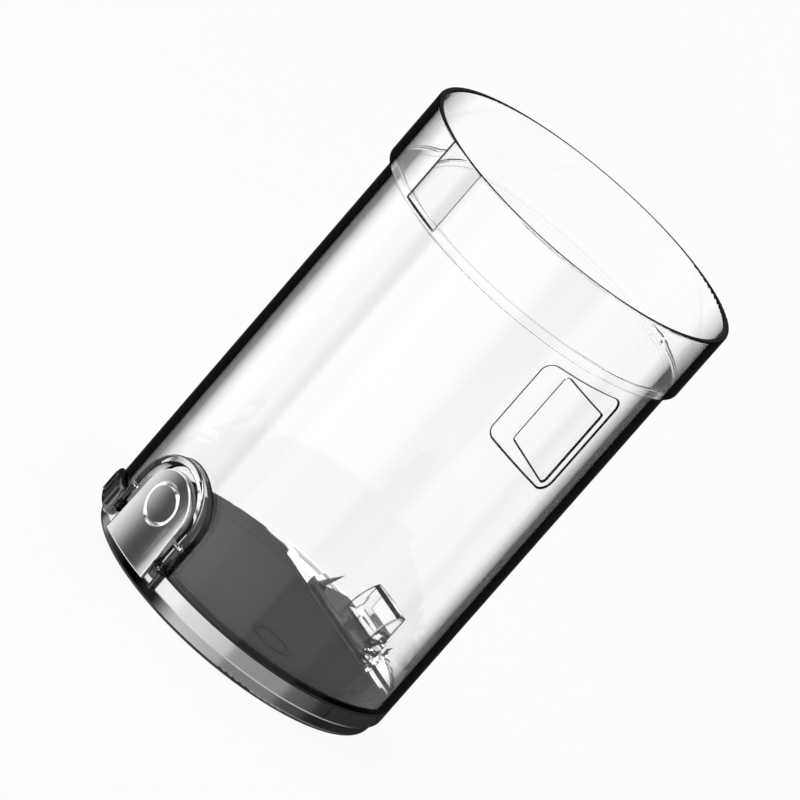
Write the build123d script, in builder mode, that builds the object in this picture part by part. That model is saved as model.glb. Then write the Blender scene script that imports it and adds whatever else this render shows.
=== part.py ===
"""Cyclone dust bin of a stick vacuum cleaner: a clear stepped tube with a hinged floor and a release button.

Millimetres. The origin is the centre of the lid's underside, +Z runs up the tube to the open mouth,
the release button faces -Y, and azimuths are counted from -Y towards +X.
"""

import os
from math import cos, radians, sin, sqrt

from build123d import *

# Tube and collar
BIN_R = 50.0            # outside radius of the tube
WALL = 2.0              # wall of tube and collar
RIM_Z = 154.0           # height of the rim above the lid's underside
COLLAR_STEP = 1.9       # collar proud of the tube
COLLAR_H = 21.8         # height of the collar
LEDGE = 2.2             # thickness of the ledge that carries the collar
EDGE_ROUND = 0.5        # soft edges of the clear moulding

# Flat on the collar, in line with the button
FLAT_HALF = 7.7         # half width
FLAT_STEP = 0.3         # set in from the collar at the flat's sides
FLAT_FOOT = 1.2         # strip of full collar left under the flat

# Two-level pocket with slanted ends, on the side of the tube
POCKET_AZ = 81.5
POCKET_DROP = 4.0       # top edge below the collar
POCKET_LEFT = 15.3      # reach to the left of its azimuth
POCKET_RIGHT = 14.0
POCKET_H_LEFT = 26.7    # height at the left end
POCKET_H_RIGHT = 34.7
POCKET_SLOPE = 7.5      # shelf left of the inner panel
POCKET_SHELF = 2.4      # shelf right of and below the inner panel
POCKET_EDGE = 0.8       # shelf above the inner panel
POCKET_DIP = 5.5        # fall of the inner panel's top edge
POCKET_STEP = 0.5       # depth of the outer shelf
POCKET_DEPTH = 1.1      # depth of the inner panel
POCKET_ROUND = 3.5
PANEL_ROUND = 1.2

# Lid
FOOT_STEP = 1.3         # lower band set in from the upper band
FOOT_ROUND = 1.6
BAND_Z = 4.5            # parting between the lower and the upper band
BAND_H = 5.1            # height of the upper band
BAND_BEVEL = 0.6
LID_PLATE = 2.2         # bottom plate
LID_WALL = 4.4          # wall of the upper band
LID_STEP_Z = 4.0        # seat of the floor insert inside the cover
LID_STEP_W = 1.6
SLIT_AZ = 89.0          # thin slit in the upper band
SLIT_W = 0.7
SLIT_DEPTH = 0.9

# Seal on the upper band
SEAL_H = 0.6
SEAL_W = 1.8
SEAL_INSET = 0.3        # from the band's outside
SEAL_GAP = 0.2          # below the tube

# Floor insert
PLUG_GAP = 0.5          # plug of the floor inside the tube
PLUG_LAP = 1.0          # plug's rim above the tube's lower edge
SKIRT_GAP = 0.2         # skirt of the floor inside the cover
SKIRT_T = 1.8
FLOOR_DROP = 1.2        # floor below the plug's rim
FLOOR_T = 2.0
FLOOR_RIM_W = 2.6
FLOOR_BEVEL = 0.6
FLOOR_STEP_W = 7.0      # second concentric step, from the tube's bore
FLOOR_STEP_H = 0.6
MARK_AZ = 68.0          # round moulded mark on the floor
MARK_AT_R = 26.5
MARK_R = 6.5
MARK_W = 1.4
MARK_H = 0.4

# Finger grip on the left of the lid
GRIP_AZ = -32.2
GRIP_HALF = 9.8         # half width along the tube
GRIP_RAISE = 0.1        # foot above the parting of the bands
GRIP_H = 9.4
GRIP_PROUD = 1.7        # beyond the upper band
GRIP_GAP = 0.5          # between grip and tube
GRIP_ROUND = 4.0
GRIP_EDGE = 0.9
GRIP_RIBS = 3
GRIP_RIB_PITCH = 6.0    # degrees
GRIP_RIB_R = 0.8
GRIP_RIB_PROUD = 0.5
GRIP_RIB_END = 1.5      # grip above and below a rib

# Fits
SIDE_GAP = 0.35         # between moving and fixed sides
RUN_GAP = 0.05          # radial play of a turning fit
FIX_GAP = 0.02          # radial play where a pin is held

# Straight back of the lid, with the hinge under a web of the tube
WEB_W = 16.4            # reach of the web, from the tube's outside
WEB_T = 1.8
WEB_GAP = 0.4           # web above the hinge barrel
LIP_T = 1.1             # lip along the web's front edge, down to the seal
LIP_LAP = 0.2           # seal behind the lip's front
LID_BACK_LAP = 2.0      # back face of the lid behind the web's front edge
LID_BACK_T = 2.2
FLOOR_BACK_GAP = 0.5    # between the floor's back and the lip
HINGE_SET = 1.7         # pin axis behind the lid's back face
HINGE_DROP = 1.0        # pin axis below the top of the upper band
HINGE_PIN_R = 1.1
BARREL_R = 2.3
BARREL_HALF = 13.8
EAR_T = 3.0
EAR_GAP = 0.4           # lid cleared round the ears
PIN_HEAD_R = 1.8
PIN_HEAD_T = 0.8

# Pointed fins on the web, above the ears
FIN_H = 5.4
FIN_SET = 0.6           # fin's foot behind the web's front edge
FIN_RUN = 6.6           # run of the front edge, from foot to tip
FIN_LEAN = 1.2          # overhang of the tip beyond the back edge's foot

# Catch pocket in the wall above the hinge, open outwards
CATCH_HALF = 7.5        # half width of the pocket's shell
CATCH_RAISE = 1.0       # corner of the shell above the web
CATCH_H = 9.5
CATCH_LOW_IN = 7.9      # reach of the shell at its foot, from the tube's outside
CATCH_HIGH_IN = 3.3     # reach of the shell at its top
CATCH_T = 1.8           # shell thickness
CATCH_BOW = 0.9         # bulge of the curved inner face
CATCH_FALL = 0.7        # fall of the shell's top towards the inside

# Release button
BUTTON_PROUD = 4.0      # face of the cap beyond the tube
CAP_T = 1.2
LEVER_T = 1.2
BUTTON_HALF = 10.2      # arch radius
BUTTON_FLARE = 0.8      # growth of the half width down to the foot
BUTTON_RAISE = 0.9      # foot above the parting of the bands
ARCH_RISE = 13.0        # centre of the arch and of the ring mark above the tube's lower edge
BUTTON_ROUND = 0.5
RING_R = 6.0            # ring groove on the cap
RING_HALF_W = 0.75
RING_DEPTH = 0.75
PIVOT_OUT = 0.75        # pin axis beyond the tube
PIVOT_DROP = 4.4        # pin axis below the centre of the arch
PIVOT_R = 0.7           # button pin
HUB_R = 1.3
FLANK_W = 2.2
FLANK_SET = 0.2         # front of the flanks behind the cap's inner face
FLANK_RAISE = 4.6       # foot of the flanks above the tube's lower edge
NOSE_HALF = 5.0         # nose, and foot of the tapered lever
NOSE_H = 1.2
NOSE_BEVEL = 0.4
NOSE_GAP = 0.35         # nose held clear of the lid's band
STRIKE_DEPTH = 3.2      # pocket in the lid's upper band, facing the nose
STRIKE_GAP = 1.0        # pocket wider than the nose, each side
STRIKE_LIFT = 0.6       # underside of the pocket's lip above the nose
POST_W = 1.5            # guide posts on the band, beside the lever
POST_PROUD = 0.2
POST_ROUND = 0.5

# Clear housing round the button
HOUSING_GAP = 2.0       # between the button's arch and the housing
HOUSING_WALL = 2.3
HOUSING_PROUD = 3.0     # flat front beyond the tube
HOUSING_ROUND = 0.6
PIN_SINK = 0.2          # button pin below the housing's sides

# Button spring
SPRING_RISE = 8.0       # above the button pin
SPRING_R = 2.2          # mean radius of the coil
SPRING_WIRE = 0.4
SPRING_TURNS = 2.0
SPRING_PLAY = 0.6       # round the coil in its seat
SPRING_SEAT_D = 0.5
SPIGOT_PLAY = 0.5       # inside the coil
SPIGOT_H = 0.4

FAR = 120.0

# Radii and distances from the axis
COLLAR_R = BIN_R + COLLAR_STEP
BORE_R = BIN_R - WALL
MOUTH_R = COLLAR_R - WALL
FLAT_N = sqrt(COLLAR_R**2 - FLAT_HALF**2) - FLAT_STEP
ROOT_R = BIN_R - WALL / 2
LID_R = BIN_R
FOOT_R = LID_R - FOOT_STEP
LID_BORE_R = LID_R - LID_WALL
GRIP_R = LID_R + GRIP_PROUD
WEB_N = BIN_R - WEB_W
LID_BACK_N = WEB_N + LID_BACK_LAP
HINGE_N = LID_BACK_N + HINGE_SET
FIN_N = WEB_N + FIN_SET
CATCH_LOW_N = BIN_R - CATCH_LOW_IN
CATCH_HIGH_N = BIN_R - CATCH_HIGH_IN
BUTTON_R = BIN_R + BUTTON_PROUD
LEVER_R = BUTTON_R - CAP_T
LEVER_IN_R = LEVER_R - LEVER_T
PIVOT_N = BIN_R + PIVOT_OUT
NOSE_N = LID_R + NOSE_GAP
HOUSING_N = BIN_R + HOUSING_PROUD
HOUSING_BORE_R = BUTTON_HALF + HOUSING_GAP
HOUSING_R = HOUSING_BORE_R + HOUSING_WALL
FLANK_OUT = HOUSING_BORE_R - SIDE_GAP
FLANK_IN = FLANK_OUT - FLANK_W
EAR_IN = BARREL_HALF + SIDE_GAP
EAR_OUT = EAR_IN + EAR_T

# Heights
COLLAR_Z = RIM_Z - COLLAR_H
SEAT_Z = COLLAR_Z + LEDGE
POCKET_TOP = COLLAR_Z - POCKET_DROP
BAND_TOP = BAND_Z + BAND_H
TUBE_Z = BAND_TOP + SEAL_H + SEAL_GAP
FLOOR_RIM_Z = TUBE_Z + PLUG_LAP
FLOOR_Z = FLOOR_RIM_Z - FLOOR_DROP
FLOOR_LOW_Z = FLOOR_Z - FLOOR_STEP_H
GRIP_Z = BAND_Z + GRIP_RAISE
HINGE_Z = BAND_TOP - HINGE_DROP
WEB_Z = HINGE_Z + BARREL_R + WEB_GAP
WEB_TOP = WEB_Z + WEB_T
WEB_MID = WEB_Z + WEB_T / 2
CATCH_LOW_Z = WEB_TOP + CATCH_RAISE
CATCH_HIGH_Z = CATCH_LOW_Z + CATCH_H
BUTTON_LOW_Z = BAND_Z + BUTTON_RAISE
NOSE_TOP_Z = BUTTON_LOW_Z + NOSE_H
STRIKE_TOP_Z = NOSE_TOP_Z + STRIKE_LIFT
ARCH_Z = TUBE_Z + ARCH_RISE
PIVOT_Z = ARCH_Z - PIVOT_DROP
FLANK_LOW_Z = TUBE_Z + FLANK_RAISE
SPRING_Z = PIVOT_Z + SPRING_RISE


def out_plane(azimuth, distance=0.0, z=0.0):
    """Plane square to the radius at an azimuth: its x runs along the wall, its y up, its normal outwards."""
    a = radians(azimuth)
    return Plane(
        origin=(distance * sin(a), -distance * cos(a), z),
        x_dir=(cos(a), sin(a), 0),
        z_dir=(sin(a), -cos(a), 0),
    )


def side_plane(azimuth, along=0.0):
    """Plane through the axis at an azimuth, moved along the wall: its x runs outwards and its y up."""
    a = radians(azimuth)
    return Plane(
        origin=(along * cos(a), along * sin(a), 0),
        x_dir=(sin(a), -cos(a), 0),
        z_dir=(-cos(a), -sin(a), 0),
    )


def arch(radius, foot, low):
    """Outline with a half round top about the arch centre and sides that reach a half width at a height."""
    with BuildSketch() as outline:
        with BuildLine():
            Line((-radius, ARCH_Z), (-foot, low))
            Line((-foot, low), (foot, low))
            Line((foot, low), (radius, ARCH_Z))
            RadiusArc((radius, ARCH_Z), (-radius, ARCH_Z), -radius)
        make_face()
    return outline.sketch


def quad(left, right, top_left, top_right, low_left, low_right, rounding):
    """Four-sided outline with slanted ends and rounded corners."""
    with BuildSketch() as outline:
        with BuildLine():
            Polyline((-left, top_left), (right, top_right), (right, low_right), (-left, low_left), close=True)
        make_face()
        fillet(outline.vertices(), rounding)
    return outline.sketch


def d_shape(radius, back):
    """Disc cut off straight at a distance behind the axis."""
    with BuildSketch() as outline:
        Circle(radius)
        with Locations((0, back + FAR / 2)):
            Rectangle(2 * FAR, FAR, mode=Mode.SUBTRACT)
    return outline.sketch


def segment(radius, front):
    """Part of a disc that lies behind a straight line."""
    with BuildSketch() as outline:
        Circle(radius)
        with Locations((0, front - FAR)):
            Rectangle(2 * FAR, 2 * FAR, mode=Mode.SUBTRACT)
    return outline.sketch


# Outer shelf and inner panel of the side pocket, as prisms kept outside a floor radius
with BuildPart() as pocket:
    with BuildSketch(out_plane(POCKET_AZ)):
        add(
            quad(
                POCKET_LEFT,
                POCKET_RIGHT,
                POCKET_TOP,
                POCKET_TOP,
                POCKET_TOP - POCKET_H_LEFT,
                POCKET_TOP - POCKET_H_RIGHT,
                POCKET_ROUND,
            )
        )
    extrude(amount=FAR)
    Cylinder(BIN_R - POCKET_STEP, 2 * FAR, mode=Mode.SUBTRACT, align=(Align.CENTER, Align.CENTER, Align.MIN))

with BuildPart() as panel:
    with BuildSketch(out_plane(POCKET_AZ)):
        add(
            quad(
                POCKET_LEFT - POCKET_SLOPE,
                POCKET_RIGHT - POCKET_SHELF,
                POCKET_TOP - POCKET_EDGE,
                POCKET_TOP - POCKET_EDGE - POCKET_DIP,
                POCKET_TOP - POCKET_H_LEFT + POCKET_SHELF,
                POCKET_TOP - POCKET_H_RIGHT + POCKET_SHELF,
                PANEL_ROUND,
            )
        )
    extrude(amount=FAR)
    Cylinder(BIN_R - POCKET_DEPTH, 2 * FAR, mode=Mode.SUBTRACT, align=(Align.CENTER, Align.CENTER, Align.MIN))

# Arched clear housing that carries the button's pin
with BuildPart() as housing:
    with BuildSketch(out_plane(0)):
        add(arch(HOUSING_R, HOUSING_R, TUBE_Z))
    extrude(amount=HOUSING_N)
    front = housing.faces().filter_by(Axis.Y).sort_by(Axis.Y)[0]
    fillet(front.edges(), HOUSING_ROUND)
    with BuildSketch(out_plane(0)):
        add(arch(HOUSING_BORE_R, HOUSING_BORE_R, TUBE_Z - WALL))
    extrude(amount=FAR, mode=Mode.SUBTRACT)
    with BuildSketch(side_plane(0)):
        with Locations((PIVOT_N, PIVOT_Z)):
            Circle(PIVOT_R + FIX_GAP)
    extrude(amount=FAR, both=True, mode=Mode.SUBTRACT)
    Cylinder(ROOT_R, FAR, mode=Mode.SUBTRACT, align=(Align.CENTER, Align.CENTER, Align.MIN))

# Web across the back of the tube's lower end, with a hinge ear and a fin on each side
with BuildPart() as web:
    with BuildSketch(Plane.XY.offset(WEB_Z)):
        add(segment(ROOT_R, WEB_N))
    extrude(amount=WEB_T)
    with BuildSketch(Plane.XY.offset(TUBE_Z)):
        add(segment(ROOT_R, WEB_N))
        add(segment(FAR, WEB_N + LIP_T), mode=Mode.SUBTRACT)
    extrude(amount=WEB_MID - TUBE_Z)
    for side in (-1, 1):
        with BuildSketch(side_plane(180, side * (EAR_IN + EAR_OUT) / 2)):
            with BuildLine():
                Polyline(
                    (FIN_N, WEB_MID),
                    (FIN_N, WEB_TOP),
                    (FIN_N + FIN_RUN, WEB_TOP + FIN_H),
                    (FIN_N + FIN_RUN - FIN_LEAN, WEB_TOP),
                    (HINGE_N + BARREL_R, WEB_MID),
                    (HINGE_N + BARREL_R, HINGE_Z),
                    (HINGE_N - HINGE_PIN_R, HINGE_Z),
                    (HINGE_N - HINGE_PIN_R, WEB_MID),
                    close=True,
                )
            make_face()
            with Locations((HINGE_N, HINGE_Z)):
                Circle(BARREL_R)
                Circle(HINGE_PIN_R + FIX_GAP, mode=Mode.SUBTRACT)
        extrude(amount=EAR_T / 2, both=True)

# Shell of the catch pocket above the hinge
with BuildPart() as catch_shell:
    with BuildSketch(side_plane(180)):
        with BuildLine():
            Polyline(
                (CATCH_HIGH_N, CATCH_HIGH_Z - CATCH_FALL),
                (ROOT_R, CATCH_HIGH_Z),
                (ROOT_R, WEB_MID),
                (CATCH_LOW_N, WEB_MID),
                (CATCH_LOW_N, CATCH_LOW_Z),
            )
            SagittaArc((CATCH_LOW_N, CATCH_LOW_Z), (CATCH_HIGH_N, CATCH_HIGH_Z - CATCH_FALL), CATCH_BOW)
        make_face()
    extrude(amount=CATCH_HALF, both=True)

# Hollow of the catch pocket, and the core under its foot
with BuildPart() as catch_hollow:
    with BuildSketch(side_plane(180)):
        with BuildLine():
            Polyline(
                (CATCH_HIGH_N + CATCH_T, CATCH_HIGH_Z - CATCH_FALL - CATCH_T),
                (BIN_R + CATCH_T, CATCH_HIGH_Z - CATCH_T),
                (BIN_R + CATCH_T, CATCH_LOW_Z + CATCH_T),
                (CATCH_LOW_N + CATCH_T, CATCH_LOW_Z + CATCH_T),
            )
            SagittaArc(
                (CATCH_LOW_N + CATCH_T, CATCH_LOW_Z + CATCH_T),
                (CATCH_HIGH_N + CATCH_T, CATCH_HIGH_Z - CATCH_FALL - CATCH_T),
                CATCH_BOW,
            )
        make_face()
        with BuildLine():
            Polyline(
                (CATCH_LOW_N + CATCH_T, WEB_Z - WEB_T),
                (BORE_R - CATCH_FALL, WEB_Z - WEB_T),
                (BORE_R - CATCH_FALL, CATCH_LOW_Z),
                (CATCH_LOW_N + CATCH_T, CATCH_LOW_Z),
                close=True,
            )
        make_face()
    extrude(amount=CATCH_HALF - CATCH_T, both=True)

# Clear tube
with BuildPart() as bin_tube:
    with BuildSketch(Plane.XZ):
        with BuildLine():
            Polyline(
                (BORE_R, TUBE_Z),
                (BIN_R, TUBE_Z),
                (BIN_R, COLLAR_Z),
                (COLLAR_R, COLLAR_Z),
                (COLLAR_R, RIM_Z),
                (MOUTH_R, RIM_Z),
                (MOUTH_R, SEAT_Z),
                (BORE_R, SEAT_Z),
                close=True,
            )
        make_face()
    revolve(axis=Axis.Z)
    rims = bin_tube.edges().filter_by(GeomType.CIRCLE)
    above = (TUBE_Z + COLLAR_Z) / 2
    fillet(rims.filter_by(lambda e: e.radius > ROOT_R and e.center().Z > above), EDGE_ROUND)
    with BuildSketch(out_plane(0, FLAT_N)):
        with Locations((0, RIM_Z)):
            Rectangle(2 * FLAT_HALF, 2 * (COLLAR_H - FLAT_FOOT))
    extrude(amount=FAR, mode=Mode.SUBTRACT)
    add(housing.part)
    add(web.part)
    add(catch_shell.part)
    add(catch_hollow.part, mode=Mode.SUBTRACT)
    with BuildSketch(out_plane(0, ROOT_R)):
        with Locations((0, SPRING_Z)):
            Circle(SPRING_R - SPRING_WIRE / 2 - SPIGOT_PLAY)
    extrude(amount=BIN_R + SPIGOT_H - ROOT_R)
    add(pocket.part, mode=Mode.SUBTRACT)
    add(panel.part, mode=Mode.SUBTRACT)

# Finger grip that joins the lid cover
with BuildPart() as grip:
    with BuildSketch(out_plane(GRIP_AZ)):
        with Locations((0, GRIP_Z + GRIP_H / 2)):
            RectangleRounded(2 * GRIP_HALF, GRIP_H, GRIP_ROUND)
    extrude(amount=FAR)
    Cylinder(GRIP_R, FAR, mode=Mode.INTERSECT, align=(Align.CENTER, Align.CENTER, Align.MIN))
    face = grip.faces().filter_by(lambda f: f.geom_type == GeomType.CYLINDER and f.radius > LID_R)
    fillet(face.edges(), GRIP_EDGE)
    for rib in range(GRIP_RIBS):
        azimuth = GRIP_AZ + (rib - (GRIP_RIBS - 1) / 2) * GRIP_RIB_PITCH
        with BuildSketch(out_plane(azimuth)):
            with Locations((0, GRIP_Z + GRIP_H / 2)):
                SlotOverall(GRIP_H - 2 * GRIP_RIB_END, 2 * GRIP_RIB_R, rotation=90)
        extrude(amount=GRIP_R + GRIP_RIB_PROUD)
    Cylinder(LID_R - LID_WALL / 2, FAR, mode=Mode.SUBTRACT, align=(Align.CENTER, Align.CENTER, Align.MIN))
    with BuildSketch(Plane.XY.offset(BAND_TOP)):
        Circle(BIN_R + GRIP_GAP)
    extrude(amount=FAR, mode=Mode.SUBTRACT)

# Lid cover: two bands, bottom plate, straight back, hinge barrel, strike pocket, posts and grip
with BuildPart() as lid_cover:
    with BuildSketch(Plane.XZ):
        with BuildLine():
            Polyline(
                (0, 0),
                (FOOT_R, 0),
                (FOOT_R, BAND_Z),
                (LID_R - BAND_BEVEL, BAND_Z),
                (LID_R, BAND_Z + BAND_BEVEL),
                (LID_R, BAND_TOP),
                (LID_BORE_R, BAND_TOP),
                (LID_BORE_R, LID_STEP_Z),
                (LID_BORE_R - LID_STEP_W, LID_STEP_Z),
                (LID_BORE_R - LID_STEP_W, LID_PLATE),
                (0, LID_PLATE),
                close=True,
            )
        make_face()
    revolve(axis=Axis.Z)
    fillet(lid_cover.edges().filter_by(GeomType.CIRCLE).group_by(Axis.Z)[0], FOOT_ROUND)
    add(grip.part)
    with BuildSketch(Plane.XY):
        add(segment(LID_R - LID_WALL / 2, LID_BACK_N - LID_BACK_T))
    extrude(amount=BAND_TOP)
    with BuildSketch(Plane.XY):
        add(segment(FAR, LID_BACK_N))
    extrude(amount=FAR, mode=Mode.SUBTRACT)
    with BuildSketch(side_plane(180)):
        with Locations((HINGE_N, HINGE_Z)):
            Circle(BARREL_R + EAR_GAP)
    extrude(amount=EAR_OUT + PIN_HEAD_T + SIDE_GAP, both=True, mode=Mode.SUBTRACT)
    with BuildSketch(side_plane(180)):
        with BuildLine():
            Polyline(
                (LID_BACK_N - LID_BACK_T, HINGE_Z - BARREL_R - EAR_GAP),
                (HINGE_N, HINGE_Z - BARREL_R),
                (HINGE_N, BAND_TOP),
                (LID_BACK_N - LID_BACK_T, BAND_TOP),
                close=True,
            )
        make_face()
        with Locations((HINGE_N, HINGE_Z)):
            Circle(BARREL_R)
    extrude(amount=BARREL_HALF, both=True)
    with BuildSketch(side_plane(180)):
        with Locations((HINGE_N, HINGE_Z)):
            Circle(HINGE_PIN_R + RUN_GAP)
    extrude(amount=BARREL_HALF, both=True, mode=Mode.SUBTRACT)
    with BuildSketch(out_plane(0, LID_R - STRIKE_DEPTH)):
        with Locations((0, (BAND_Z + STRIKE_TOP_Z) / 2)):
            Rectangle(2 * (NOSE_HALF + STRIKE_GAP), STRIKE_TOP_Z - BAND_Z)
    extrude(amount=FAR, mode=Mode.SUBTRACT)
    for side in (-1, 1):
        with BuildSketch(Plane.XY.offset(BAND_Z)):
            with Locations((side * (HOUSING_BORE_R + POST_W / 2), -(LID_BORE_R + LID_R + POST_PROUD) / 2)):
                Rectangle(POST_W, LID_R + POST_PROUD - LID_BORE_R)
        extrude(amount=BAND_H)
    posts = lid_cover.edges().filter_by(Axis.Z).group_by(Axis.Y)[0]
    fillet(posts, POST_ROUND)
    with BuildSketch(out_plane(SLIT_AZ, LID_R - SLIT_DEPTH)):
        with Locations((0, BAND_TOP)):
            Rectangle(SLIT_W, 2 * (BAND_H - BAND_BEVEL))
    extrude(amount=FAR, mode=Mode.SUBTRACT)

# Dark floor insert with a plug rim that enters the tube
with BuildPart() as lid_floor:
    plug_r = BORE_R - PLUG_GAP
    skirt_r = LID_BORE_R - SKIRT_GAP
    with BuildSketch(Plane.XZ):
        with BuildLine():
            Polyline(
                (0, FLOOR_LOW_Z - FLOOR_T),
                (skirt_r - SKIRT_T, FLOOR_LOW_Z - FLOOR_T),
                (skirt_r - SKIRT_T, LID_STEP_Z),
                (skirt_r, LID_STEP_Z),
                (skirt_r, BAND_TOP),
                (plug_r, BAND_TOP),
                (plug_r, FLOOR_RIM_Z - FLOOR_BEVEL),
                (plug_r - FLOOR_BEVEL, FLOOR_RIM_Z),
                (plug_r - FLOOR_RIM_W, FLOOR_RIM_Z),
                (plug_r - FLOOR_RIM_W - FLOOR_BEVEL, FLOOR_Z),
                (BORE_R - FLOOR_STEP_W, FLOOR_Z),
                (BORE_R - FLOOR_STEP_W - FLOOR_BEVEL, FLOOR_LOW_Z),
                (0, FLOOR_LOW_Z),
                close=True,
            )
        make_face()
    revolve(axis=Axis.Z)
    mark_x = MARK_AT_R * sin(radians(MARK_AZ))
    mark_y = -MARK_AT_R * cos(radians(MARK_AZ))
    with BuildSketch(Plane.XY.offset(FLOOR_LOW_Z)):
        with Locations((mark_x, mark_y)):
            Circle(MARK_R)
            Circle(MARK_R - MARK_W, mode=Mode.SUBTRACT)
    extrude(amount=MARK_H)
    with BuildSketch(Plane.XY):
        add(segment(FAR, WEB_N - FLOOR_BACK_GAP))
    extrude(amount=FAR, mode=Mode.SUBTRACT)

# Rubber seal on the lid's upper band, straight along the back
with BuildPart() as lid_seal:
    with BuildSketch(Plane.XY.offset(BAND_TOP)):
        add(d_shape(LID_R - SEAL_INSET, WEB_N + LIP_T))
        add(d_shape(LID_R - SEAL_INSET - SEAL_W, WEB_N + LIP_LAP), mode=Mode.SUBTRACT)
    extrude(amount=SEAL_H)

# Hinge pin with a head
with BuildPart() as hinge_pin:
    with BuildSketch(side_plane(180)):
        with Locations((HINGE_N, HINGE_Z)):
            Circle(HINGE_PIN_R)
    extrude(amount=EAR_OUT, both=True)
    with BuildSketch(side_plane(180, EAR_OUT + PIN_HEAD_T)):
        with Locations((HINGE_N, HINGE_Z)):
            Circle(PIN_HEAD_R)
    extrude(amount=PIN_HEAD_T)

# Glossy button cap with a ring groove
with BuildPart() as button_cap:
    with BuildSketch(out_plane(0)):
        add(arch(BUTTON_HALF, BUTTON_HALF + BUTTON_FLARE, BUTTON_LOW_Z))
    extrude(amount=FAR)
    Cylinder(BUTTON_R, FAR, mode=Mode.INTERSECT, align=(Align.CENTER, Align.CENTER, Align.MIN))
    Cylinder(LEVER_R, FAR, mode=Mode.SUBTRACT, align=(Align.CENTER, Align.CENTER, Align.MIN))
    face = button_cap.faces().filter_by(GeomType.CYLINDER).sort_by(Axis.Y)[0]
    fillet(face.edges(), BUTTON_ROUND)
    with BuildSketch(side_plane(0)):
        with BuildLine():
            Polyline(
                (BUTTON_R + CAP_T, ARCH_Z + RING_R - RING_HALF_W),
                (BUTTON_R, ARCH_Z + RING_R - RING_HALF_W),
                (BUTTON_R - RING_DEPTH, ARCH_Z + RING_R),
                (BUTTON_R, ARCH_Z + RING_R + RING_HALF_W),
                (BUTTON_R + CAP_T, ARCH_Z + RING_R + RING_HALF_W),
                close=True,
            )
        make_face()
    revolve(axis=Axis((0, 0, ARCH_Z), (0, -1, 0)), mode=Mode.SUBTRACT)

# Space that the cap fills in front of the lever
with BuildPart() as cap_space:
    with BuildSketch(out_plane(0)):
        add(arch(BUTTON_HALF, BUTTON_HALF + BUTTON_FLARE, BUTTON_LOW_Z))
    extrude(amount=FAR)
    Cylinder(LEVER_R, FAR, mode=Mode.SUBTRACT, align=(Align.CENTER, Align.CENTER, Align.MIN))

# Lever behind the cap: plate, pivot flanks and hook nose
with BuildPart() as button_lever:
    with BuildSketch(out_plane(0)):
        add(arch(BUTTON_HALF, BUTTON_HALF + BUTTON_FLARE, BUTTON_LOW_Z))
    extrude(amount=FAR)
    Cylinder(LEVER_R, FAR, mode=Mode.INTERSECT, align=(Align.CENTER, Align.CENTER, Align.MIN))
    Cylinder(LEVER_IN_R, FAR, mode=Mode.SUBTRACT, align=(Align.CENTER, Align.CENTER, Align.MIN))
    for side in (-1, 1):
        with BuildSketch(out_plane(0)):
            with BuildLine():
                Polyline(
                    (side * NOSE_HALF, BUTTON_LOW_Z),
                    (side * HOUSING_R, PIVOT_Z + HUB_R),
                    (side * HOUSING_R, BUTTON_LOW_Z),
                    close=True,
                )
            make_face()
        extrude(amount=FAR, mode=Mode.SUBTRACT)
    for side in (-1, 1):
        with BuildSketch(side_plane(0, side * (FLANK_IN + FLANK_OUT) / 2)):
            with BuildLine():
                Polyline(
                    (PIVOT_N - HUB_R, PIVOT_Z),
                    (PIVOT_N - HUB_R, FLANK_LOW_Z),
                    (LEVER_R - FLANK_SET, FLANK_LOW_Z),
                    (LEVER_R - FLANK_SET, PIVOT_Z + HUB_R),
                    (PIVOT_N, PIVOT_Z + HUB_R),
                    close=True,
                )
            make_face()
            with Locations((PIVOT_N, PIVOT_Z)):
                Circle(HUB_R)
        extrude(amount=FLANK_W / 2, both=True)
    add(cap_space.part, mode=Mode.SUBTRACT)
    with BuildSketch(side_plane(0)):
        with BuildLine():
            Polyline(
                (NOSE_N, BUTTON_LOW_Z + NOSE_BEVEL),
                (NOSE_N, NOSE_TOP_Z),
                (LEVER_IN_R - NOSE_BEVEL, NOSE_TOP_Z),
                (LEVER_IN_R + NOSE_BEVEL, NOSE_TOP_Z + NOSE_H),
                (LEVER_IN_R + NOSE_BEVEL, BUTTON_LOW_Z),
                (NOSE_N + NOSE_BEVEL, BUTTON_LOW_Z),
                close=True,
            )
        make_face()
    extrude(amount=NOSE_HALF, both=True)
    with BuildSketch(side_plane(0)):
        with Locations((PIVOT_N, PIVOT_Z)):
            Circle(PIVOT_R + RUN_GAP)
    extrude(amount=FAR, both=True, mode=Mode.SUBTRACT)
    with BuildSketch(out_plane(0)):
        with Locations((0, SPRING_Z)):
            Circle(SPRING_R + SPRING_WIRE / 2 + SPRING_PLAY)
    extrude(amount=LEVER_IN_R + SPRING_SEAT_D, mode=Mode.SUBTRACT)

# Button pin, held in the housing
with BuildPart() as button_pin:
    with BuildSketch(side_plane(0)):
        with Locations((PIVOT_N, PIVOT_Z)):
            Circle(PIVOT_R)
    extrude(amount=HOUSING_R - PIN_SINK, both=True)

# Coil spring between the tube's spigot and the lever
spring_low = BIN_R + SPRING_WIRE / 2
spring_high = LEVER_IN_R + SPRING_SEAT_D - SPRING_WIRE / 2
with BuildPart() as button_spring:
    with BuildLine() as coil:
        Helix(
            pitch=(spring_high - spring_low) / SPRING_TURNS,
            height=spring_high - spring_low,
            radius=SPRING_R,
            center=(0, -spring_low, SPRING_Z),
            direction=(0, -1, 0),
        )
    with BuildSketch(coil.line ^ 0):
        Circle(SPRING_WIRE / 2)
    sweep()

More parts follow.
